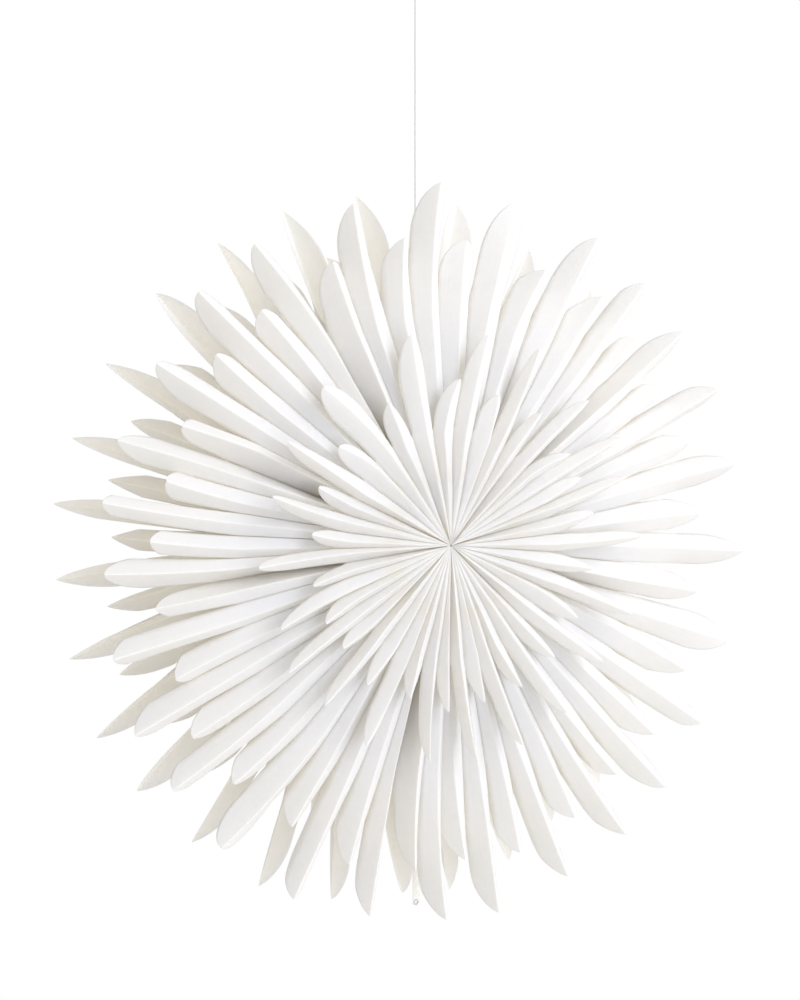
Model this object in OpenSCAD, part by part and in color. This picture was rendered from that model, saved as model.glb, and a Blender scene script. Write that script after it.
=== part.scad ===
// Folded paper star lamp. Flat paper tubes with cut tips are glued side by side and fanned
// out into a full circle round a horizontal axis. A wide middle fan carries a small fan on
// its front and one on its back, and together they close a round chamber for the lamp.
// The origin is on the ceiling, where the fitting is screwed up. +Z is up, and the star's
// front looks along -Y. All sizes are in millimetres.

/* [Middle fan] */
// Radius from the star's axis to the tips of the long petals
long_r = 500; // [420:5:600]
// Radius to the tips of the short petals
short_r = 430; // [370:5:520]
// Radius where the notch between front and back fingers starts
notch_r = 305; // [240:5:360]
// Radius of the lamp chamber that the tubes leave free
chamber_r = 95; // [80:1:120]
// Long petals round the full circle, with as many short ones between them
middle_pairs = 28; // [24:1:30]
// Half the width of the glued strip, which is also half the gap between the fingers
glue_half = 50; // [35:1:60]
// Flat width of the paper from the glued strip to the fold
petal_width = 36.5; // [34:0.5:50]
// Length over which a petal rounds down to its tip
tip_length = 82; // [40:1:100]
// How pointed the tips of the middle fan are
tip_point = 1.6; // [1:0.1:2]

/* [Spread] */
// Tubes that the left half has more than the right, between the top and bottom seams
left_extra = 2; // [0:2:4]
// How far the left half's seams stray from even spacing, in degrees for each wave
left_waves = [5.6, 2.3, 1.1, -0.5]; // [-6:0.1:6]
// The same for the right half
right_waves = [-4.4, 0.3, -2, 2.5]; // [-6:0.1:6]
// How far the small fans' seams stray sideways, in degrees for one, two and three waves
small_sines = [-0.3, -2.4, 2.1]; // [-4:0.1:4]
// The same for the waves that start at their peak
small_cosines = [-7.2, 3.5, 1.5]; // [-8:0.1:8]

/* [Small fans] */
// Radius to the tips of the small fans' long petals
small_long_r = 290; // [230:5:350]
// Radius to the tips of the small fans' short petals
small_short_r = 219; // [170:1:260]
// Radius where the small fans' petals part
small_notch_r = 150; // [120:1:165]
// Long petals of one small fan
small_pairs = 21; // [18:1:24]
// Flat width of a small petal at the axis, from the glued line to the fold
small_width_axis = 6; // [5:0.5:10]
// Flat width of a small petal at its tip
small_width_tip = 32; // [28:0.5:44]

/* [Paper] */
// Thickness of the petal paper
paper_t = 0.3; // [0.2:0.05:0.5]
// Thickness of the closing cards
card_t = 0.4; // [0.3:0.05:0.8]
// Glue line left on each side of a seam
glue_gap = 0.1; // [0.05:0.05:0.3]

/* [Closing tab] */
// Width of the tab that hangs from the closing seam
tab_w = 11; // [9:0.5:16]
// Radius at which the eyelet sits
eyelet_r = 499; // [380:1:600]
// Outside diameter of the eyelet
eyelet_d = 8; // [7:0.5:9]
// Hole through the eyelet
eyelet_hole_d = 4; // [3:0.5:5]

/* [Lamp] */
// Diameter of the lamp holder's body
holder_d = 29; // [27:0.5:34]
// Length of the lamp holder below its cap
holder_h = 42; // [38:1:52]
// Height of the holder's cap
holder_cap_h = 15; // [12:1:20]
// Diameter of the disc that the paper hangs on
hanger_d = 58; // [46:1:70]
// Thickness of that disc
hanger_t = 3; // [2:0.5:5]
// Diameter of the bulb's globe
globe_d = 45; // [40:1:60]
// Diameter of the bulb's screw cap
bulb_cap_d = 13.6; // [13:0.1:14]

/* [Cord and ceiling fitting] */
// Height from the star's axis up to the ceiling
drop = 810; // [650:5:1200]
// Diameter of the cord
cord_d = 5; // [4:0.5:6]
// Diameter of the ceiling cup at the ceiling
cup_d = 76; // [68:1:100]
// Height of the ceiling cup
cup_h = 44; // [38:1:60]
// Wall of the ceiling cup
cup_wall = 2; // [1.5:0.5:3]
// Length of the steel ceiling strip
strip_l = 62; // [58:1:66]
// Distance between the strip's two screw holes
screw_pitch = 44; // [40:1:48]
// Diameter of the screw holes
screw_d = 4.5; // [4:0.1:5]

/* [Hidden] */
seat_gap = 0.3;                 // running gap where one piece sits on another
sheet_gap = 0.1;                // gap between the front and the back sheet of a middle tube
tubes = 2*middle_pairs;         // tubes of the middle fan, long and short in turn
closing_k = middle_pairs + left_extra/2;  // seam at the bottom, counted from the one at the top
small_tubes = 2*small_pairs;
small_start = -2.3;             // angle of the small fans' first seam when evenly spaced
finger_flare = 0.3;             // how much a free finger opens, as a share of the seam's flare
axis_r = 4;                     // free hole that the folds leave at the axis
pressed_r = 15;                 // inside this radius a small tube is pressed flat
small_glue = 4.4;               // depth from the small tubes' back fold to their glued line
small_finger_depth = 17;        // depth of a small finger behind its fold
cord_clear = 0.4;               // free space round the cord between two tubes

hanger_edge = hanger_t/2;
hanger_top = hanger_edge + sqrt(pow(chamber_r - seat_gap - hanger_edge, 2)
    - pow(hanger_d/2 - hanger_edge, 2));
cap_top = hanger_top - hanger_t;
holder_top = cap_top - holder_cap_h;
ring_z = holder_top - 24;       // underside of the threaded ring on the holder
insert_d = 21;                  // porcelain insert that carries the contacts
insert_h = 12;
sleeve_h = 20;                  // contact sleeve below the insert
sleeve_t = 0.9;
bulb_cap_h = 25;
bulb_top = holder_top - insert_h - seat_gap;
bulb_neck = bulb_top - bulb_cap_h;
globe_z = bulb_neck - globe_d/2 - 3;
holder_wall = 1.8;
strip_w = 18;
strip_t = 1.5;
strip_step = 9.5;               // how far the strip's middle steps down
strip_inner = 14;               // half the length of the stepped part, inside
nipple_d = 10;
nipple_bore = cord_d + 1.2;
nipple_reach = 8;               // how far the nipple screws into the grip
nut_h = 3;
nut_d = 16;
grip_h = 18;
cord_top = -cup_h + 6;          // the cord's end, inside the nipple
card_inner_r = 110;
card_half = 44;
tab_top_r = 240;
tab_t = card_t;
twist_start_r = notch_r + 8;
twist_len = 46;
closing_clear = card_t + tab_t/2 + glue_gap + 0.05;

sections = 7;                   // glued sections in which a small fan is made
function section_from(s) = round(s*small_tubes/sections);

// The left half of the middle fan is glued up in pairs of a long and a short tube from the
// top seam round to the closing seam, and so is the right half from there. An odd tube is
// left at the end of each.
left_nodes = ceil(closing_k/2);
right_nodes = ceil((tubes - closing_k)/2);
middle_nodes = left_nodes + right_nodes;
function node_tubes(i) = i <= left_nodes
    ? [for (k = [2*i - 2, 2*i - 1]) if (k < closing_k) k]
    : [for (k = [0, 1]) let (t = closing_k + 2*(i - left_nodes - 1) + k) if (t < tubes) t];

cord_sides = 8;
cord_ring = 12;                 // spacing of the rings along the cord

middle_names = [for (i = [1:middle_nodes]) str("middle_petals_", i)];
front_names = [for (i = [1:sections]) str("front_petals_", i)];
back_names = [for (i = [1:sections]) str("back_petals_", i)];

// ---- frames ----

// Moves the star's own frame, with its centre as origin, down to its place under the ceiling.
module star() translate([0, 0, -drop]) children();

// Turns a tube that lies along +X, with its opening along Z, to the angle a round the axis.
module at_angle(a) rotate([0, -a, 0]) children();

// ---- tubes ----

// Depth of a fold in front of its glued line, for paper of flat width f opened by w.
function fold_depth(f, w) = sqrt(pow(f, 2) - pow(w, 2));

// Half opening of a tube at radius r, for the half angle h that it takes: it flares with the
// seams up to the notch, then less.
function opening(r, h, notch, clear) =
    (min(r, notch) + max(r - notch, 0)*finger_flare)*tan(h) - clear;

// Six corners of a tube at radius r. ys holds the front fold, the front and back edge of the
// glued strip and the back fold; up and dn are the openings on either side.
function ring6(r, ys, up, dn) = [
    [r, ys[0], 0], [r, ys[1], up], [r, ys[2], up], [r, ys[3], 0], [r, ys[2], -dn], [r, ys[1], -dn]
];

// The same corners, moved in by the paper's thickness t.
function inner6(r, ys, up, dn, t) =
    let (w = (up + dn)/2, f = ys[1] - ys[0], b = ys[3] - ys[2],
         kf = norm([w, f]), kb = norm([w, b]))
    ring6(r, [ys[0] + t*kf/w, ys[1] + t*(kf - f)/w, ys[2] - t*(kb - b)/w, ys[3] - t*kb/w],
          up - t, dn - t);

// Closed skin through rings of six corners.
module skin(rings) {
    last = 6*(len(rings) - 1);
    polyhedron(
        points = [for (ring = rings) each ring],
        faces = concat(
            [for (k = [1:4]) [0, k + 1, k]],
            [for (k = [1:4]) [last, last + k, last + k + 1]],
            [for (o = [0:6:last - 6]) for (k = [0:5]) [o + k, o + (k + 1)%6, o + 6 + k]],
            [for (o = [0:6:last - 6]) for (k = [0:5])
                [o + 6 + k, o + (k + 1)%6, o + 6 + (k + 1)%6]]
        ),
        convexity = 6
    );
}

// ---- middle fan ----

// Angle of seam k. Both halves start and end at the vertical and stray in between.
function strayed(t, waves) =
    180*t + waves*[for (m = [1:len(waves)]) sin(180*m*t)];
function seam(k) = k <= closing_k
    ? 90 + strayed(k/closing_k, left_waves)
    : 270 + strayed((k - closing_k)/(tubes - closing_k), right_waves);
function middle_half(k) = (seam(k + 1) - seam(k))/2;

// Depths of the front fold, the glued strip and the back fold at radius r.
function middle_ys(r, h) =
    let (d = fold_depth(petal_width, opening(r, h, notch_r, glue_gap)))
    [-glue_half - d, -glue_half, glue_half, glue_half + d];

function middle_ring(r, h, up_c, dn_c, t) =
    let (up = opening(r, h, notch_r, up_c), dn = opening(r, h, notch_r, dn_c), ys = middle_ys(r, h))
    t > 0 ? inner6(r, ys, up, dn, t) : ring6(r, ys, up, dn);

// Arc from a finger's free edge round to its fold, at depths e and f: a quarter ellipse for a
// point of 1, a parabola that ends in a sharper point for 2.
function tip(r, e, f, len, point) =
    [for (t = [0:15:90]) [r - len + len*sin(t), f - (f - e)*pow(cos(t), point)]];

// Flat outline of a middle tube seen from its side: a front and a back sheet, each die cut and
// folded once, which meet on the middle of the glued strip.
module middle_outline(r, h) {
    fold = glue_half + petal_width + 1;
    back = tip(r, glue_half, middle_ys(r, h)[3], tip_length, tip_point);
    front = [for (p = back) [p[0], -p[1]]];
    difference() {
        polygon(concat(
            [[chamber_r, fold], [chamber_r, -fold], [r, -fold]],
            [for (i = [len(front) - 1:-1:0]) front[i]], back, [[r, fold]]
        ));
        translate([notch_r + glue_half, 0]) circle(glue_half, $fn = 64);
        translate([notch_r + glue_half, -glue_half]) square([r, 2*glue_half]);
        translate([0, -sheet_gap/2]) square([r, sheet_gap]);
    }
}

// One tube of the middle fan; up_c and dn_c keep it clear of the seams at its two sides.
module middle_tube(r, h, up_c, dn_c) {
    start = chamber_r - 3;
    intersection() {
        difference() {
            skin([for (s = [start, notch_r, r + 4]) middle_ring(s, h, up_c, dn_c, 0)]);
            skin([for (s = [start - 2, notch_r, r + 6]) middle_ring(s, h, up_c, dn_c, paper_t)]);
        }
        linear_extrude(90, center = true) middle_outline(r, h);
    }
}

// The cord comes in through the seam at the top, and the two closing cards lie in the one at
// the bottom.
function seam_clear(k) =
    k%tubes == 0 ? cord_d/2 + cord_clear : k == closing_k ? closing_clear : glue_gap;

// A long tube and the short one beside it.
module middle_petals(i) color("white") star() for (k = node_tubes(i))
    at_angle((seam(k) + seam(k + 1))/2)
        middle_tube(k%2 == 0 ? long_r : short_r, middle_half(k), seam_clear(k + 1), seam_clear(k));

// ---- small fans ----

// Angle of seam k of a small fan.
function small_seam_angle(k) = let (x = 360*k/small_tubes)
    small_start + x + small_sines*[for (m = [1:3]) sin(m*x)]
    + small_cosines*[for (m = [1:3]) cos(m*x)];
function small_half(k) = (small_seam_angle(k + 1) - small_seam_angle(k))/2;

// The small fans lie against the foremost fold at the chamber's edge.
narrowest = min([for (k = [0:tubes - 1]) middle_half(k)]);
small_back = middle_ys(chamber_r, narrowest)[3] + seat_gap;
small_seam = small_back + small_glue;

function small_width(r) =
    small_width_axis + (small_width_tip - small_width_axis)*r/small_long_r;

function small_fold(r, h) =
    small_seam + fold_depth(small_width(r), opening(r, h, small_notch_r, glue_gap));

function small_ring(r, h, t) =
    let (w = opening(r, h, small_notch_r, glue_gap),
         ys = [-small_fold(r, h), -small_seam, 1 - small_seam, -small_back])
    t > 0 ? inner6(r, ys, w, w, t) : ring6(r, ys, w, w);

// Flat outline of a small tube: whole up to its notch, then one finger along the front fold.
module small_outline(r, h) {
    len = r - small_notch_r;
    edge = tip(r, small_fold(r, h) - small_finger_depth, small_fold(r, h), min(len, 60), 1.2);
    front = small_fold(r, h) + 6;
    polygon(concat(
        [[axis_r, -front], [axis_r, 0], [small_notch_r, 0], [small_notch_r, -small_seam]],
        [for (p = edge) [p[0], -p[1]]], [[r, -front]]
    ));
}

module small_tube(r, h) {
    intersection() {
        difference() {
            skin([for (s = [axis_r, small_notch_r, r + 3]) small_ring(s, h, 0)]);
            skin([for (s = [pressed_r, small_notch_r, r + 5]) small_ring(s, h, paper_t)]);
        }
        linear_extrude(90, center = true) small_outline(r, h);
    }
}

module small_section(s) color("white") for (k = [section_from(s - 1):section_from(s) - 1])
    at_angle((small_seam_angle(k) + small_seam_angle(k + 1))/2)
        small_tube(k%2 == 0 ? small_long_r : small_short_r, small_half(k));

module front_petals(s) star() small_section(s);

module back_petals(s) star() mirror([0, 1, 0]) small_section(s);

// ---- closing seam ----

// Rounded card in the plane of the closing seam, from radius a to radius b, on the side s.
module seam_card(a, b, half, s) {
    corner = 10;
    x = s > 0 ? tab_t/2 + 0.02 : -tab_t/2 - 0.02 - card_t;
    translate([x, 0, -b]) rotate([90, 0, 90]) linear_extrude(card_t) {
        translate([corner - half, 0]) square([2*(half - corner), b - a]);
        translate([-half, corner]) square([2*half, b - a - 2*corner]);
        for (u = [-1, 1]) for (v = [corner, b - a - corner])
            translate([u*(half - corner), v]) circle(corner, $fn = 48);
    }
}

module closing_card_left() color("white") star() seam_card(card_inner_r, notch_r - 5, card_half, -1);

module closing_card_right() color("white") star() seam_card(card_inner_r, notch_r - 5, card_half, 1);

// Strip between the radii a and a + len that turns by 90 degrees, in n steps.
module twisted_strip(a, len, n) {
    corners = [[tab_t, tab_w], [-tab_t, tab_w], [-tab_t, -tab_w], [tab_t, -tab_w]]/2;
    polyhedron(
        points = [for (i = [0:n]) for (c = corners)
            let (turn = 45*(1 - cos(180*i/n)))
            [c[0]*cos(turn) - c[1]*sin(turn), c[0]*sin(turn) + c[1]*cos(turn), -a - len*i/n]],
        faces = concat(
            [[0, 3, 2, 1], [4*n, 4*n + 1, 4*n + 2, 4*n + 3]],
            [for (i = [0:4:4*n - 4]) for (k = [0:3]) [i + k, i + (k + 1)%4, i + 4 + k]],
            [for (i = [0:4:4*n - 4]) for (k = [0:3]) [i + 4 + k, i + (k + 1)%4, i + 4 + (k + 1)%4]]
        ),
        convexity = 4
    );
}

// Narrow strip held between the cards. Below them it turns to face the front.
module closing_tab() color("white") star() {
    translate([-tab_t/2, -tab_w/2, -twist_start_r])
        cube([tab_t, tab_w, twist_start_r - tab_top_r]);
    twisted_strip(twist_start_r, twist_len, 12);
    difference() {
        union() {
            translate([-tab_w/2, -tab_t/2, -eyelet_r])
                cube([tab_w, tab_t, eyelet_r - twist_start_r - twist_len]);
            translate([0, tab_t/2, -eyelet_r]) rotate([90, 0, 0])
                cylinder(d = tab_w, h = tab_t, $fn = 64);
        }
        translate([0, tab_w, -eyelet_r]) rotate([90, 0, 0])
            cylinder(d = eyelet_hole_d + 1.4, h = 2*tab_w, $fn = 64);
    }
}

// Flanged steel eyelet, rolled over on both faces of the tab.
module closing_eyelet() color("lightgray") star() translate([0, 0, -eyelet_r]) rotate([90, 0, 0]) {
    rim = 0.5;
    difference() {
        union() {
            cylinder(d = eyelet_hole_d + 1.2, h = tab_t + 2*rim, center = true, $fn = 64);
            for (s = [-1, 1]) translate([0, 0, s*(tab_t/2 + rim/2 + 0.02)])
                cylinder(d = eyelet_d, h = rim, center = true, $fn = 64);
        }
        cylinder(d = eyelet_hole_d, h = tab_w, center = true, $fn = 64);
    }
}

// ---- lamp ----

// The tubes' inner ends rest on the rim of this disc.
module hanger_disc() color("white") star() translate([0, 0, cap_top]) rotate_extrude($fn = 96) {
    hole_r = cord_d/2 + cord_clear;
    translate([hole_r, 0]) square([hanger_d/2 - hanger_edge - hole_r, hanger_t]);
    translate([hanger_d/2 - hanger_edge, hanger_edge]) circle(hanger_edge, $fn = 32);
}

// Domed cap with the cord's hole at its top.
module holder_cap() color("white") star() translate([0, 0, holder_top]) rotate_extrude($fn = 96)
    difference() {
        union() {
            square([holder_d/2, holder_cap_h - 6]);
            square([holder_d/2 - 6, holder_cap_h]);
            translate([holder_d/2 - 6, holder_cap_h - 6]) circle(6, $fn = 48);
        }
        square([holder_d/2 - holder_wall, holder_cap_h - 7]);
        square([holder_d/2 - 7, holder_cap_h - holder_wall]);
        square([cord_d/2 + 0.1, holder_cap_h]);
        translate([-holder_d, -holder_d]) square([holder_d, 3*holder_d]);
    }

// Open shell round the insert and the bulb's cap, with a rib where the ring's thread starts.
module holder_body() color("white") star() translate([0, 0, holder_top - holder_h])
    rotate_extrude($fn = 96) {
        translate([holder_d/2 - holder_wall, 0]) square([holder_wall, holder_h]);
        translate([bulb_cap_d/2 + seat_gap + sleeve_t + 0.4, holder_h - insert_h - 3])
            square([holder_d/2 - bulb_cap_d/2 - seat_gap - sleeve_t - 0.8, 3]);
        translate([holder_d/2 - 0.5, holder_h - 12]) square([1.6, 2]);
    }

// Porcelain block with the contact sleeve that the bulb is screwed into. It stands on the
// body's inner lip.
module holder_insert() color("ivory") star() translate([0, 0, holder_top - insert_h]) difference() {
    sleeve_r = bulb_cap_d/2 + seat_gap;
    union() {
        cylinder(d = insert_d, h = insert_h - seat_gap, $fn = 96);
        translate([0, 0, -sleeve_h]) cylinder(r = sleeve_r + sleeve_t, h = sleeve_h + 1, $fn = 96);
    }
    translate([0, 0, -sleeve_h - 1]) cylinder(r = sleeve_r, h = sleeve_h + 1, $fn = 96);
    for (s = [-1, 1]) translate([6*s, 0, 4]) cylinder(d = 3, h = insert_h, $fn = 32);
}

// Threaded ring with a grip edge.
module holder_ring() color("white") star() translate([0, 0, ring_z]) difference() {
    union() {
        cylinder(d = holder_d + 14, h = 3, $fn = 96);
        cylinder(d = holder_d + 6, h = 8, $fn = 96);
    }
    translate([0, 0, -1]) cylinder(d = holder_d + 0.4, h = 10, $fn = 96);
    for (a = [0:30:330]) rotate(a) translate([holder_d/2 + 8, 0, -1]) cylinder(d = 4, h = 5, $fn = 32);
}

// Sealed globe bulb: screw cap, neck and globe.
module bulb() color("ivory") star() {
    translate([0, 0, bulb_neck]) cylinder(d = bulb_cap_d, h = bulb_cap_h - 3, $fn = 96);
    translate([0, 0, bulb_top - 3]) cylinder(d1 = bulb_cap_d, d2 = 8, h = 3, $fn = 96);
    translate([0, 0, globe_z + globe_d/2 - 6])
        cylinder(d1 = 31, d2 = bulb_cap_d, h = bulb_neck - globe_z - globe_d/2 + 6, $fn = 96);
    translate([0, 0, globe_z]) sphere(d = globe_d, $fn = 96);
}

// ---- cord ----

// The cord is pulled straight between its ends, in the nipple and in the holder's cap.
cord_end = cap_top - holder_wall - drop;
cord_rings = ceil((cord_top - cord_end)/cord_ring);
cord_route = [for (i = [0:cord_rings]) [0, 0, cord_top + (cord_end - cord_top)*i/cord_rings]];

module cord() color("gainsboro") {
    n = cord_sides;
    last = n*cord_rings;
    polyhedron(
        points = [for (p = cord_route) for (k = [0:n - 1])
            p + cord_d/2*[cos(360*k/n), sin(360*k/n), 0]],
        faces = concat(
            [[for (k = [n - 1:-1:0]) k], [for (k = [0:n - 1]) last + k]],
            [for (o = [0:n:last - n]) for (k = [0:n - 1])
                [o + k, o + (k + 1)%n, o + n + (k + 1)%n, o + n + k]]
        ),
        convexity = 4
    );
}

// ---- ceiling fitting ----

// Clamping grip that is screwed onto the nipple and carries the cord.
module cord_grip() color("white") translate([0, 0, -cup_h - grip_h]) difference() {
    union() {
        cylinder(d1 = 11, d2 = 16, h = grip_h - 4, $fn = 96);
        translate([0, 0, grip_h - 4]) cylinder(d = 18, h = 4, $fn = 96);
    }
    translate([0, 0, grip_h - nipple_reach - 0.5])
        cylinder(d = nipple_d + 0.2, h = nipple_reach + 2, $fn = 64);
    translate([0, 0, -1]) cylinder(d = cord_d + 0.2, h = grip_h, $fn = 64);
}

// Turned cup that hides the strip, open towards the ceiling.
module ceiling_cup() color("white") translate([0, 0, -cup_h]) rotate_extrude($fn = 128)
    difference() {
        cup_profile(cup_d/2, cup_h, 14);
        translate([0, cup_wall]) cup_profile(cup_d/2 - cup_wall, cup_h, 12);
        square([nipple_d/2 + 0.2, cup_wall*2]);
    }

// Half profile of a cup with a rounded bottom edge.
module cup_profile(r, h, corner) {
    square([r - corner, h]);
    translate([0, corner]) square([r, h - corner]);
    intersection() {
        translate([r - corner, corner]) circle(corner, $fn = 96);
        square([r, h]);
    }
}

// Hollow threaded tube from the strip down through the cup into the grip.
module ceiling_nipple() color("silver") translate([0, 0, -cup_h - nipple_reach]) difference() {
    cylinder(d = nipple_d, h = cup_h + nipple_reach - strip_step + strip_t + nut_h + 1, $fn = 64);
    translate([0, 0, -1]) cylinder(d = nipple_bore, h = cup_h + nipple_reach + 2, $fn = 64);
}

// Hexagon nuts on the nipple: one over the strip and one that clamps the cup onto the grip.
module ceiling_nuts() color("silver") for (z = [cup_wall - cup_h, strip_t - strip_step])
    translate([0, 0, z]) difference() {
        cylinder(d = nut_d, h = nut_h, $fn = 6);
        translate([0, 0, -1]) cylinder(d = nipple_d + 0.2, h = nut_h + 2, $fn = 64);
    }

// Steel strip screwed to the ceiling, with its middle stepped down to take the nipple.
module ceiling_strip() color("silver") difference() {
    rotate([90, 0, 0]) linear_extrude(strip_w, center = true) polygon([
        [-strip_l/2, 0], [-strip_inner, 0], [-strip_inner, strip_t - strip_step],
        [strip_inner, strip_t - strip_step], [strip_inner, 0], [strip_l/2, 0],
        [strip_l/2, -strip_t], [strip_inner + strip_t, -strip_t],
        [strip_inner + strip_t, -strip_step], [-strip_inner - strip_t, -strip_step],
        [-strip_inner - strip_t, -strip_t], [-strip_l/2, -strip_t]
    ]);
    for (s = [-1, 1]) translate([s*screw_pitch/2, 0, -strip_t - 1])
        cylinder(d = screw_d, h = strip_t + 2, $fn = 64);
    translate([0, 0, -strip_step - 1]) cylinder(d = nipple_d + 0.2, h = strip_t + 2, $fn = 64);
}

for (i = [1:middle_nodes]) middle_petals(i);
for (i = [1:sections]) front_petals(i);
for (i = [1:sections]) back_petals(i);
closing_card_left();
closing_card_right();
closing_tab();
closing_eyelet();
hanger_disc();
holder_cap();
holder_body();
holder_insert();
holder_ring();
bulb();
cord();
cord_grip();
ceiling_cup();
ceiling_nuts();
ceiling_nipple();
ceiling_strip();
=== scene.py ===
"""Paper star lamp: the folded paper tubes, their finger tips, the cord, the finishes and the studio."""
import math

import bpy
import numpy as np
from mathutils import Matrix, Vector


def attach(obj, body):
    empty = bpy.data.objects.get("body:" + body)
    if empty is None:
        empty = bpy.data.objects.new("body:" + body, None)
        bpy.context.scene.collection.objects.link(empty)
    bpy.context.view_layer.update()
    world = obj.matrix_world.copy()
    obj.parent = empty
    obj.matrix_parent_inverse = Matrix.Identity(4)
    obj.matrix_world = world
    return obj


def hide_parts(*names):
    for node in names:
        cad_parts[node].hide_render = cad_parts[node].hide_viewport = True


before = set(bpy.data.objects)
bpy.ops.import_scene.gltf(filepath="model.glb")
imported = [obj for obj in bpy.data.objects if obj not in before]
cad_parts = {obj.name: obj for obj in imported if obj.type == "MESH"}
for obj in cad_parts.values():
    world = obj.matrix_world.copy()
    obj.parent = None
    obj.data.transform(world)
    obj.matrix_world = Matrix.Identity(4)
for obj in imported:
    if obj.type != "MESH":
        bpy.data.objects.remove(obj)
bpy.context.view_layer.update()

# ---- sizes, in metres, as in the part's source ----

DROP = 0.81                 # from the ceiling down to the star's centre
CENTRE = np.array([0.0, 0.0, -DROP])
PAPER = 0.0003              # thickness of the petal paper
GLUE_GAP = 0.0001           # left between two neighbouring tubes
SEAT_GAP = 0.0003           # left where the small fans lie on the middle fan

# middle fan
TUBES = 56
CLOSING = 29                # tubes from the top seam round the left side to the closing seam
LONG_R, SHORT_R = 0.5, 0.43
CHAMBER_R = 0.095           # inner ends of the middle tubes
NOTCH_R = 0.305             # where the front and the back finger part
GLUE = 0.05                 # half width of the glued strip
FLAT = 0.0365               # flat width of a finger's flank, from its fold to the glued strip
TIP = 0.07                  # length over which a finger rounds off
TIP_POINT = 1.35            # how pointed its tip is: 1 for a quarter ellipse, 2 for a parabola
BACK_TIP = 0.085            # the same two for the back fingers, which end in narrower blades
BACK_TIP_POINT = 1.7
LEFT_WAVES = (5.6, 2.3, 1.1, -0.5)
RIGHT_WAVES = (-4.4, 0.3, -2.0, 2.5)

# small fans
SMALL_TUBES = 42
SMALL_SECTIONS = 7
SMALL_LONG_R, SMALL_SHORT_R = 0.29, 0.219
SMALL_NOTCH_R = 0.15
AXIS_R = 0.0016             # hole left where the small fans' folds meet
SMALL_START = -2.3
SMALL_SINES = (-0.3, -2.4, 2.1)
SMALL_COSINES = (-7.2, 3.5, 1.5)
SMALL_FINGER = 0.017        # depth of a small finger beyond its notch
SMALL_GLUE = 0.0044         # depth from the small tubes' back fold to their glued line
SMALL_WIDTH_AXIS = 0.006    # flat width of a small tube's flank at the axis
SMALL_WIDENING = 0.026      # and how much wider it is at the tip of a long tube
SMALL_CUT = 0.014           # length over which the notch of a small tube reaches its full depth
SMALL_TIP, SMALL_TIP_POINT = 0.06, 1.2

BOW = 0.05                  # how far a flank bows out, as a share of its width
CREASE = 0.0008             # radius of the fold
OPENS_WITHIN = 0.13         # length beyond the notch over which a seam opens to its free slope
FLOOR_Z, FLOOR_HALF = -2.3, 1.6

CORD_D = 0.005
CORD_TOP, CORD_END = -0.038, -0.7243


# ---- camera ----

def place_camera():
    """A long lens 3.44 m from the star's centre, turned 28.5 degrees to its left and 2.2 degrees above it."""
    turn, lift, away = math.radians(-28.5), math.radians(2.2), 3.443
    aside, above = 0.0222, 0.058
    back = Vector((math.sin(turn) * math.cos(lift), -math.cos(turn) * math.cos(lift), math.sin(lift)))
    right = Vector((math.cos(turn), math.sin(turn), 0))
    up = back.cross(right)
    data = bpy.data.cameras.new("camera")
    data.sensor_fit, data.sensor_width, data.lens = "HORIZONTAL", 36, 112.5
    data.clip_end = 50
    camera = bpy.data.objects.new("camera", data)
    bpy.context.scene.collection.objects.link(camera)
    camera.location = Vector(CENTRE) + back * away - right * aside + up * above
    camera.rotation_euler = back.to_track_quat("Z", "Y").to_euler()
    bpy.context.scene.camera = camera


place_camera()


# ---- finishes ----

def linear(colour):
    """sRGB hex digits to the linear colour that a socket takes."""
    channels = [int(colour[i:i + 2], 16) / 255 for i in (0, 2, 4)]
    return tuple(c / 12.92 if c <= 0.04045 else ((c + 0.055) / 1.055) ** 2.4 for c in channels) + (1.0,)


def finish(name):
    """An empty node material and its tree."""
    material = bpy.data.materials.new(name)
    material.use_nodes = True
    material.node_tree.nodes.clear()
    return material, material.node_tree


def add(tree, kind, settings=(), **sockets):
    """A node of that kind: settings are its own properties, and each socket takes a value or another node's output."""
    node = tree.nodes.new("ShaderNode" + kind)
    for key, value in dict(settings).items():
        setattr(node, key, value)
    for key, value in sockets.items():
        socket = node.inputs[int(key[1:])] if key[0] == "_" else node.inputs[key.replace("_", " ")]
        if isinstance(value, bpy.types.NodeSocket):
            tree.links.new(value, socket)
        else:
            socket.default_value = value
    return node


def shades(node, *stops):
    """Sets a colour ramp's stops, each a place and a hex colour."""
    ramp = node.color_ramp
    while len(ramp.elements) < len(stops):
        ramp.elements.new(1.0)
    for element, (place, colour) in zip(ramp.elements, stops):
        element.position, element.color = place, linear(colour)
    return node


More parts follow.
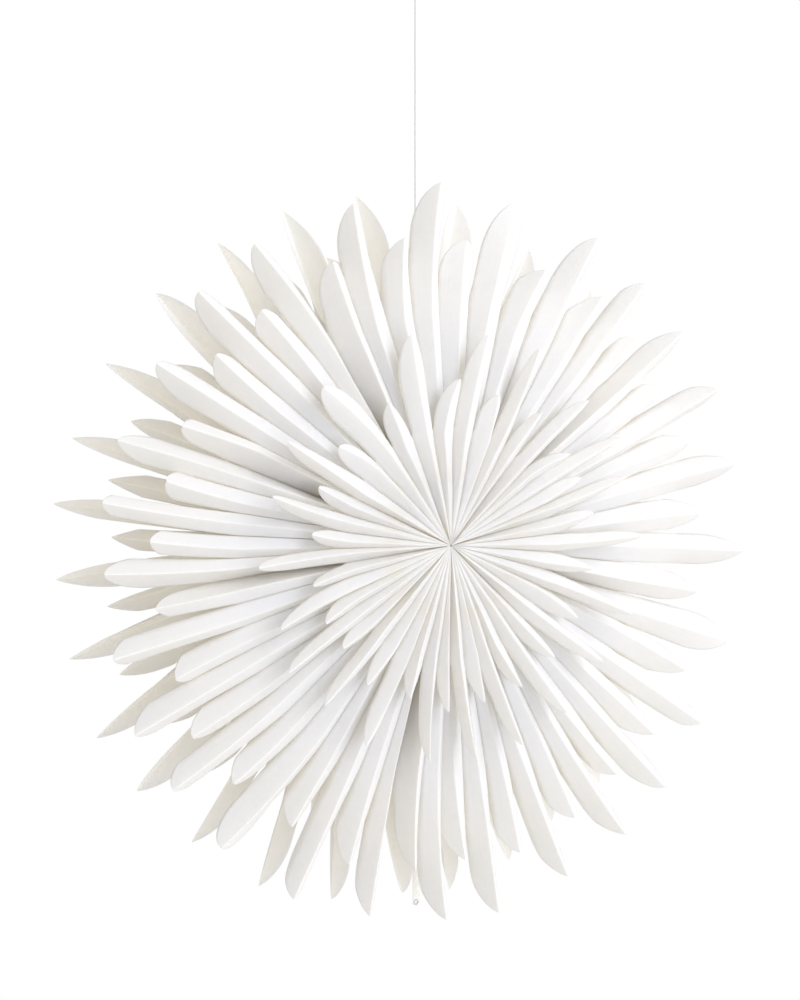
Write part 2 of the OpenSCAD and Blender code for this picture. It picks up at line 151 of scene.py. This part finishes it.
def uncoated_paper(name, sheet, thin, crest, glow, axis_shade_colour):
    """Uncoated wood-free paper of about 120 g/m2, die cut and folded: dull, a little cloudy against the light,
    with a felt-side grain, a painted highlight along the crest of each fold, and warm light coming through it."""
    material, tree = finish(name)
    place = add(tree, "TexCoord")
    flat = add(tree, "UVMap", {"uv_map": "petal"})
    across = add(tree, "SeparateXYZ", Vector=flat.outputs["UV"])
    # Cloudy formation, in clumps of about 9 mm.
    cloud = add(tree, "TexNoise", Vector=place.outputs["Object"], Scale=110.0, Detail=3.0, Roughness=0.6)
    tone = shades(add(tree, "ValToRGB", Fac=cloud.outputs["Fac"]), (0.3, thin), (0.7, sheet))
    # Painted highlight along the crest of the fold: paler within 1.5 mm on either side.
    depth = add(tree, "Math", {"operation": "ABSOLUTE"}, _0=across.outputs["Y"])
    crest_highlight = add(tree, "MapRange", Value=depth.outputs[0], From_Min=0.0, From_Max=0.0016, To_Min=1.0, To_Max=0.0)
    colour = add(tree, "Mix", {"data_type": "RGBA"}, _0=crest_highlight.outputs[0], _6=tone.outputs["Color"], _7=linear(crest))
    # Painted warm shade near the axis, in streaks that run with the fold.
    long_way = add(tree, "Mapping", Vector=flat.outputs["UV"], Scale=(14.0, 160.0, 1.0))
    patchy = add(tree, "TexNoise", Vector=long_way.outputs[0], Scale=1.0, Detail=2.0)
    inward = add(tree, "MapRange", Value=across.outputs["X"], From_Min=0.02, From_Max=0.17, To_Min=0.9, To_Max=0.0)
    shade_streaks = add(tree, "MapRange", Value=patchy.outputs["Fac"], From_Min=0.45, From_Max=0.75)
    # How much of the painted warm shade goes on: most near the axis, in streaks.
    pasted = add(tree, "Math", {"operation": "MULTIPLY"}, _0=inward.outputs[0], _1=shade_streaks.outputs[0])
    colour = add(tree, "Mix", {"data_type": "RGBA"}, _0=pasted.outputs[0], _6=colour.outputs[2], _7=linear(axis_shade_colour))
    # Fibres are under 0.1 mm wide, so their felt is drawn at about 1.2 mm, and long streaks run with the fold.
    felt = add(tree, "TexNoise", Vector=place.outputs["Object"], Scale=850.0, Detail=2.0)
    stretch = add(tree, "Mapping", Vector=flat.outputs["UV"], Scale=(9.0, 260.0, 1.0))
    streak = add(tree, "TexNoise", Vector=stretch.outputs[0], Scale=1.0, Detail=3.0)
    relief = add(tree, "Math", {"operation": "MULTIPLY_ADD"},
                 _0=streak.outputs["Fac"], _1=2.0, _2=felt.outputs["Fac"])
    bump = add(tree, "Bump", Strength=0.35, Distance=0.0004, Height=relief.outputs[0])
    face = add(tree, "BsdfPrincipled", Base_Color=colour.outputs[2], Roughness=0.78, IOR=1.5,
               Normal=bump.outputs[0])
    face.inputs["Specular IOR Level"].default_value = 0.25
    through = add(tree, "BsdfTranslucent", Color=linear(glow), Normal=bump.outputs[0])
    both = add(tree, "MixShader", _0=0.38, _1=face.outputs[0], _2=through.outputs[0])
    # Light that has entered one face of the sheet leaves the other without a second loss.
    inside = add(tree, "NewGeometry")
    clear = add(tree, "BsdfTransparent")
    sheet = add(tree, "MixShader", _0=inside.outputs["Backfacing"], _1=both.outputs[0], _2=clear.outputs[0])
    add(tree, "OutputMaterial", Surface=sheet.outputs[0])
    return material


def grained(name, light, dark, roughness, grain, relief, coat=0.0, metal=0.0):
    """A solid finish: two near colours in clumps of the size grain, in metres, with a faint relief of the same size."""
    material, tree = finish(name)
    place = add(tree, "TexCoord")
    clumps = add(tree, "TexNoise", Vector=place.outputs["Object"], Scale=1 / grain, Detail=4.0)
    tone = shades(add(tree, "ValToRGB", Fac=clumps.outputs["Fac"]), (0.35, dark), (0.65, light))
    fine = add(tree, "TexNoise", Vector=place.outputs["Object"], Scale=4 / grain, Detail=2.0)
    gloss = add(tree, "MapRange", Value=fine.outputs["Fac"], To_Min=roughness - 0.05, To_Max=roughness + 0.05)
    bump = add(tree, "Bump", Strength=0.4, Distance=relief, Height=fine.outputs["Fac"])
    face = add(tree, "BsdfPrincipled", Base_Color=tone.outputs["Color"], Roughness=gloss.outputs[0],
               Metallic=metal, Normal=bump.outputs[0])
    face.inputs["Coat Weight"].default_value = coat
    add(tree, "OutputMaterial", Surface=face.outputs[0])
    return material


petal_paper = uncoated_paper("uncoated white petal paper", "F9FAFE", "F6F7FB", "FEFEFF", "F8F0DB", "F0E4C6")
grey_board = grained("pasted white card", "F4F2EC", "ECE9E1", 0.72, 0.004, 0.0001)
nickelled_brass = grained("satin nickelled eyelet", "A9A9A6", "8E8E8B", 0.32, 0.0015, 0.00002, metal=1.0)
moulded_plastic = grained("moulded white polycarbonate", "F2F2EE", "EBEBE6", 0.38, 0.0008, 0.00003)
glazed_porcelain = grained("glazed porcelain", "F1EEE6", "E6E2D8", 0.22, 0.006, 0.00003, coat=0.6)
opal_glass = grained("opal bulb glass", "FBF8F0", "F3F0E7", 0.3, 0.02, 0.00001, coat=0.3)
zinc_plate = grained("bright zinc plated steel", "C9CBCE", "A4A8AC", 0.3, 0.003, 0.00003, metal=1.0)
cord_sheath = grained("extruded white cord sheath", "FEFEFE", "FCFCFC", 0.42, 0.002, 0.00004)


# ---- meshes from grids ----

def surface(name, grids, material, thick=0.0):
    """One mesh of several grids. A grid is (points, plan): rows by columns of points in metres, and the same number
    of flat coordinates. thick gives the sheet its paper thickness, half to either side."""
    corners, cells, plans, start = [], [], [], 0
    for points, plan in grids:
        rows, columns = points.shape[:2]
        index = start + np.arange(rows * columns).reshape(rows, columns)
        quads = np.stack([index[:-1, :-1], index[1:, :-1], index[1:, 1:], index[:-1, 1:]], -1).reshape(-1, 4)
        corners.append(points.reshape(-1, 3))
        cells.append(quads)
        plans.append(plan.reshape(-1, 2))
        start += rows * columns
    corners, cells, plans = np.concatenate(corners), np.concatenate(cells), np.concatenate(plans)
    mesh = bpy.data.meshes.new(name)
    mesh.from_pydata(corners.tolist(), [], cells.tolist())
    mesh.uv_layers.new(name="petal").data.foreach_set("uv", plans[cells.reshape(-1)].reshape(-1).astype("f"))
    mesh.polygons.foreach_set("use_smooth", np.ones(len(cells), bool))
    mesh.materials.append(material)
    piece = bpy.data.objects.new(name, mesh)
    bpy.context.scene.collection.objects.link(piece)
    if thick:
        wall = piece.modifiers.new("paper thickness", "SOLIDIFY")
        wall.thickness, wall.offset = thick, 0.0
    return piece


# ---- the cord, taut between the ceiling cup and the lamp holder ----

def cord_tube():
    """A round tube of the cord's diameter down the star's axis: angle round the cord by distance along it."""
    route = [(0.0, 0.0, z) for z in np.linspace(CORD_END, CORD_TOP, 30)]
    round_it = np.linspace(0, 2 * np.pi, 17)
    z = np.array([p[2] for p in route])[:, None]
    points = np.stack([CORD_D / 2 * np.cos(round_it) + 0 * z, CORD_D / 2 * np.sin(round_it) + 0 * z,
                       z + 0 * round_it], -1)
    plan = np.stack([z + 0 * round_it, round_it * CORD_D / 2 + 0 * z], -1)
    piece = surface("cord_sheath", [(points[:, ::-1], plan[:, ::-1])], cord_sheath)
    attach(piece, "root")
    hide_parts("cord")


cord_tube()


# ---- petals ----

def wave(k, *terms):
    """Sum of sines of k, each term (size, rate, start): an even way for neighbours to differ."""
    return sum(size * np.sin(rate * k + start) for size, rate, start in terms)


def seam(k):
    """Angle of seam k of the middle fan in radians: even steps round each half, with a few slow waves added."""
    left, right = k / CLOSING, (k - CLOSING) / (TUBES - CLOSING)
    stray = lambda t, waves: 180 * t + sum(w * math.sin(math.pi * m * t) for m, w in enumerate(waves, 1))
    return math.radians(90 + stray(left, LEFT_WAVES) if k <= CLOSING else 270 + stray(right, RIGHT_WAVES))


def small_seam(k):
    """Angle of seam k of a small fan in radians, made the same way."""
    x = 2 * math.pi * k / SMALL_TUBES
    stray = sum(a * math.sin(m * x) + b * math.cos(m * x)
                for m, (a, b) in enumerate(zip(SMALL_SINES, SMALL_COSINES), 1))
    return math.radians(SMALL_START + 360 * k / SMALL_TUBES + stray)


# How far the fingers' tips lean from their tubes, as (tube, degrees) with straight lines between. The paper has let go
# between the fourth and the fifth tube of the middle fan, so those lean apart.
FRONT_LEAN = ((0, -3.3), (1.5, -2.0), (3, -2.2), (4, 2.2), (5.5, 0.9), (7.5, -0.7), (9.5, 1.3), (11, -0.8),
              (14, -1.3), (17, 0.3), (20, -2.0), (22, -2.2), (25, 0.2), (26.5, 1.7), (28, 3.1), (30, -0.6),
              (34, 0.8), (38, 0.0), (42, -0.4), (50, 0.7), (53, -1.0), (55, -1.2))
BACK_LEAN = ((0, 2.3), (2, 2.1), (5, -1.0), (10, 0.8), (13, -0.8), (18, 2.4), (20, 0.5), (22, 0.8), (24, 2.4),
             (28, 5.6), (30, 1.0), (36, -1.2), (42, 1.0), (48, -0.8), (55, 0.8))
SMALL_LEAN = ((0, 2.1), (2, 3.0), (5, -3.4), (8, 2.4), (11, -4.4), (14, 4.6), (18, -2.9), (22, 3.0), (25, -2.0),
              (28, -1.6), (30, 1.7), (34, 0.3), (38, 0.5), (40, -2.5), (42, 2.1))

# Numbers of the seams that stand open all the way back. The others are pressed shut nearly to their folds.
SMALL_OPEN = (2, 7, 13, 17, 21, 26, 32, 38)
MIDDLE_OPEN = (4, 10, 15, 27, 41, 49)

# How deep the shut seams are, in half widths of the tube: at the axis, at the notch, and what the free finger adds.
FRONT_SLOPES = (0.45, 0.85, 0.6)
BACK_SLOPES = (0.5, 1.1, 1.2)
SMALL_SLOPES = (0.5, 1.3, 0.6)


def lean(k, knots):
    """Degrees that finger k leans, between the knots on either side of it."""
    return float(np.interp(k, *zip(*knots)))


def groove(k, fold, w, seam_y, slopes, notch, standing_open):
    """Depth of the seam on either side of tube k: at seam_y where it stands open, else the fold's depth less slope
    times the half width. The slope goes from shallow at the axis to steep at the notch by the square of the radius,
    and beyond it adds the free slope by a curve that starts and ends level."""
    shallow, steep, free_slope = slopes

    def bottom(r, q):
        opened = np.clip((r - notch) / OPENS_WITHIN, 0, 1)
        slope = (shallow + (steep - shallow) * np.clip(r / notch, 0, 1) ** 2
                 + free_slope * opened ** 2 * (3 - 2 * opened))
        shut = np.maximum(seam_y, fold(r) - slope * w(r))
        return np.where(q < 0, seam_y if k in standing_open else shut, seam_y if k + 1 in standing_open else shut)
    return bottom


def petal_grid(angle, reach, w, seam_y, fold_y, edge_y, start, tip, point, side, turn, curl, sway,
               rows, columns, notch):
    """One finger with the half tube it grows from: a row for each radius, a column for each place across.
    w, fold_y and edge_y give the half width, the fold's depth and the free edge's depth at a radius, and seam_y the
    seam's depth at a radius and side. Across, a flank leaves the seam straight, bows out a little on its way to the
    fold and meets the other flank there in a round crease. Behind the seam the sheet goes on as a flat wall. Along,
    the edge runs on the strip to the notch and then rounds off to the fold at the tip. turn, in degrees, leans the
    free finger sideways, curl lifts it and sway shifts its crest."""
    r = np.concatenate([start, reach - tip + tip * np.sin(np.radians(np.linspace(0, 86, rows)))])[:, None]
    q = np.linspace(-1, 1, 2 * columns + 1)[None, :]
    free = np.clip((r - notch) / (reach - notch), 0, 1)
    half, deep, flat = w(r), fold_y(r), seam_y(r, q)
    edge = edge_y(r)
    rounding = np.clip((r - reach + tip) / tip, 0, 1)
    edge = np.where(rounding > 0, deep - (deep - edge) * (1 - rounding ** 2) ** (point / 2), edge)
    flank = np.sqrt((deep - flat) ** 2 + half ** 2)
    reachable = np.where(edge >= flat, flank * (deep - edge) / (deep - flat), flank + flat - edge)
    wall = np.maximum(reachable - flank, 0)
    # Share of the columns that the flank takes. The wall gets the rest, up to a quarter, and none where it ends.
    share = 1 - 0.25 * wall / (wall + 0.003)
    on_wall = np.clip((np.abs(q) - share) / (1.0001 - share), 0, 1)
    along = (reachable - wall) * np.minimum(np.abs(q) / share, 1) ** 1.5 + wall * on_wall
    soft = np.sqrt(along ** 2 + CREASE ** 2) - CREASE
    t = np.clip(along / flank, 0, 1)
    u = np.clip(soft / flank, 0, 1)
    lateral = half * (2 * t * (1 - t) * (0.5 + BOW) + t * t)
    depth = deep - (deep - flat) * u - np.maximum(along - flank, 0)
    depth = depth + curl * free ** 2 * (0.3 + 0.7 * (depth - flat) / (deep - flat))
    lateral = np.sign(q) * lateral + sway * half * (1 - t) * (1 - free)
    a = angle + math.radians(1) * turn * free ** 1.3
    x = r * np.cos(a) - lateral * np.sin(a)
    z = r * np.sin(a) + lateral * np.cos(a)
    points = np.stack([x, side * depth, z], -1) + CENTRE
    plan = np.stack([r + 0 * q, np.sign(q) * along + 0 * r], -1)
    if side < 0:
        return points[:, ::-1], plan[:, ::-1]
    return points, plan


def notch_edge(r):
    """Depth of the middle tube's cut edge: none up to the notch, then a quarter circle up to the strip's edge."""
    inward = NOTCH_R + GLUE - np.clip(r, NOTCH_R, NOTCH_R + GLUE)
    return np.where(r <= NOTCH_R, 0.0, np.sqrt(np.clip(GLUE ** 2 - inward ** 2, 0, None)))


def middle_finger(k, side):
    """Front (side -1) or back (side 1) half of tube k of the middle fan. The waves make each a little different."""
    front = side < 0
    h = (seam(k + 1) - seam(k)) / 2
    angle = (seam(k) + seam(k + 1)) / 2
    reach = (LONG_R if k % 2 == 0 else SHORT_R) - 0.004 - 0.014 * math.sin(angle)
    reach += float(wave(k + 40 * (side > 0), (0.005, 2.1, 0.3), (0.004, 5.3, 1.0)))
    spread = (0.3 if front else -0.05) + float(wave(k + 17 * side, (0.3, 1.7, 0.0), (0.25, 4.1, 0.5)))
    tip = (TIP if front else BACK_TIP) + float(wave(k + 23 * side, (0.008, 2.9, 0.7), (0.006, 6.1, 0.2)))
    tip = min(tip, reach - NOTCH_R - GLUE - 0.008)
    point = TIP_POINT if front else BACK_TIP_POINT
    point += float(wave(k + 31 * side, (0.15, 2.3, 0.1), (0.12, 5.9, 1.3)))
    w = lambda r: (np.minimum(r, NOTCH_R) + np.maximum(r - NOTCH_R, 0) * spread) * math.tan(h) - PAPER
    fold = lambda r: GLUE + np.sqrt(FLAT ** 2 - np.minimum(w(r), 0.8 * FLAT) ** 2)
    start = np.concatenate([np.linspace(CHAMBER_R, NOTCH_R - 0.02, 8),
                            NOTCH_R + GLUE * (1 - np.cos(np.radians(np.linspace(0, 90, 10)))),
                            np.linspace(NOTCH_R + GLUE + 0.004, reach - tip - 0.002, 5)])
    turn = lean(k, FRONT_LEAN if front else BACK_LEAN)
    turn += float(wave(k + 9 * side, (0.3, 3.3, 0.0), (0.2, 7.1, 1.0)))
    curl = float(wave(k * side, (0.004, 2.7, 0.4), (0.003, 1.1, 2.0)))
    sway = float(wave(k + 13 * side, (0.2, 2.2, 0.9), (0.15, 5.1, 0.0)))
    seams = groove(k, fold, w, GLUE, FRONT_SLOPES if front else BACK_SLOPES, NOTCH_R, MIDDLE_OPEN)
    return petal_grid(angle, reach, w, seams, fold, notch_edge, start, tip, point, side, turn, curl, sway,
                      16, 12, NOTCH_R)


def node_tubes(i):
    """Tubes of the middle node numbered i: a long and a short one, or the odd one at the end of a half."""
    left = math.ceil(CLOSING / 2)
    first = 2 * i - 2 if i <= left else CLOSING + 2 * (i - left - 1)
    last = CLOSING if i <= left else TUBES
    return [k for k in (first, first + 1) if k < last]


narrowest = min((seam(k + 1) - seam(k)) / 2 for k in range(TUBES))
# The small fans lie on the foremost fold at the chamber's edge, which is the narrowest tube's.
SMALL_BACK = GLUE + math.sqrt(FLAT ** 2 - (CHAMBER_R * math.tan(narrowest) - GLUE_GAP) ** 2) + SEAT_GAP
SMALL_SEAM = SMALL_BACK + SMALL_GLUE


def small_finger(k, side):
    """Tube k of a small fan, which has one finger along its outer fold; side -1 is the front fan."""
    h = (small_seam(k + 1) - small_seam(k)) / 2
    reach = SMALL_LONG_R if k % 2 == 0 else SMALL_SHORT_R
    reach += float(wave(k + 30 * (side > 0), (0.004, 1.9, 0.2), (0.004, 4.7, 1.4)))
    spread = 0.5 + float(wave(k + 11 * side, (0.25, 2.3, 0.0), (0.15, 4.9, 0.5)))
    w = lambda r: (np.minimum(r, SMALL_NOTCH_R) + np.maximum(r - SMALL_NOTCH_R, 0) * spread) * math.tan(h) - GLUE_GAP
    width = lambda r: SMALL_WIDTH_AXIS + SMALL_WIDENING * r / SMALL_LONG_R
    fold = lambda r: SMALL_SEAM + np.sqrt(width(r) ** 2 - np.minimum(w(r), 0.85 * width(r)) ** 2)
    into = lambda r: np.clip((r - SMALL_NOTCH_R) / SMALL_CUT, 0, 1)
    edge = lambda r: SMALL_BACK * (1 - into(r)) + into(r) * np.maximum(fold(r) - SMALL_FINGER, SMALL_SEAM)
    tip = min(reach - SMALL_NOTCH_R - 0.016, SMALL_TIP)
    start = np.concatenate([np.linspace(AXIS_R, SMALL_NOTCH_R, 7),
                            np.linspace(SMALL_NOTCH_R + 0.003, SMALL_NOTCH_R + SMALL_CUT, 4),
                            np.linspace(SMALL_NOTCH_R + 0.0155, reach - tip - 0.001, 4)[: 4 if k % 2 == 0 else 1]])
    turn = lean(k, SMALL_LEAN) + float(wave(k + 5 * side, (0.4, 3.1, 0.0), (0.3, 6.7, 1.0)))
    curl = float(wave(k * side, (0.003, 2.7, 0.4), (0.002, 1.1, 2.0)))
    sway = float(wave(k + 13 * side, (0.35, 2.2, 0.9), (0.25, 5.1, 0.0)))
    seams = groove(k, fold, w, SMALL_SEAM, SMALL_SLOPES, SMALL_NOTCH_R, SMALL_OPEN)
    return petal_grid((small_seam(k) + small_seam(k + 1)) / 2, reach, w, seams, fold, edge, start, tip,
                      SMALL_TIP_POINT, side, turn, curl, sway, 12, 8, SMALL_NOTCH_R)


def paper_piece(name, node, grids, material):
    """A piece of folded petal paper that stands for one node of the frame."""
    piece = surface(name, grids, material, PAPER)
    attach(piece, "root")
    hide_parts(node)


for i in range(1, math.ceil(CLOSING / 2) + math.ceil((TUBES - CLOSING) / 2) + 1):
    paper_piece("folded_middle_%d" % i, "middle_petals_%d" % i,
                [middle_finger(k, side) for k in node_tubes(i) for side in (-1, 1)], petal_paper)
for s in range(1, SMALL_SECTIONS + 1):
    tubes = range(round((s - 1) * SMALL_TUBES / SMALL_SECTIONS), round(s * SMALL_TUBES / SMALL_SECTIONS))
    paper_piece("folded_front_%d" % s, "front_petals_%d" % s, [small_finger(k, -1) for k in tubes], petal_paper)
    paper_piece("folded_back_%d" % s, "back_petals_%d" % s, [small_finger(k, 1) for k in tubes], petal_paper)


# ---- finishes on the frame's own nodes ----

FINISHES = {
    grey_board: ("closing_card_left", "closing_card_right", "closing_tab"),
    nickelled_brass: ("closing_eyelet",),
    moulded_plastic: ("hanger_disc", "holder_cap", "holder_body", "holder_ring", "cord_grip", "ceiling_cup"),
    glazed_porcelain: ("holder_insert",),
    zinc_plate: ("ceiling_nuts", "ceiling_nipple", "ceiling_strip"),
    opal_glass: ("bulb",),
}
for material, names in FINISHES.items():
    for name in names:
        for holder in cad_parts[name].material_slots:
            holder.material = material


# ---- studio ----

def studio():
    """A plain pale floor well below the star, a white surround for the camera, and soft light from the upper right."""
    world = bpy.data.worlds.new("white studio")
    bpy.context.scene.world = world
    world.use_nodes = True
    tree = world.node_tree
    tree.nodes.clear()
    fill = add(tree, "Background", Color=linear("F6F8FF"), Strength=0.6)
    white = add(tree, "Background", Color=(1, 1, 1, 1), Strength=1.0)
    ray = add(tree, "LightPath")
    gloss = add(tree, "Math", {"operation": "MAXIMUM"},
                _0=ray.outputs["Is Camera Ray"], _1=ray.outputs["Is Glossy Ray"])
    shown = add(tree, "Math", {"operation": "MAXIMUM"}, _0=gloss.outputs[0], _1=ray.outputs["Is Transmission Ray"])
    both = add(tree, "MixShader", _0=shown.outputs[0], _1=fill.outputs[0], _2=white.outputs[0])
    add(tree, "OutputWorld", Surface=both.outputs[0])

    floor_mesh = bpy.data.meshes.new("floor")
    corners = [(x * FLOOR_HALF, y * FLOOR_HALF, FLOOR_Z) for x, y in ((-1, -1), (1, -1), (1, 1), (-1, 1))]
    floor_mesh.from_pydata(corners, [], [(0, 1, 2, 3)])
    floor = bpy.data.objects.new("floor", floor_mesh)
    bpy.context.scene.collection.objects.link(floor)
    floor_mesh.materials.append(grained("pale painted floor", "EFEEEB", "EAE9E5", 0.6, 0.05, 0.0002))

    def lamp(name, place, size, watts, colour):
        """A round soft light at a place from the star's centre, turned to face it."""
        data = bpy.data.lights.new(name, "AREA")
        data.shape, data.size, data.energy, data.color = "DISK", size, watts, linear(colour)[:3]
        light = bpy.data.objects.new(name, data)
        bpy.context.scene.collection.objects.link(light)
        light.location = Vector(CENTRE) + Vector(place)
        light.rotation_euler = Vector(place).to_track_quat("Z", "Y").to_euler()

    lamp("key", (1.3, -2.5, 1.5), 2.4, 68, "F6F9FF")
    lamp("front fill", (0.6, -3.1, -0.6), 2.6, 38, "F6F9FF")


studio()

bpy.context.scene.view_settings.view_transform = "Standard"
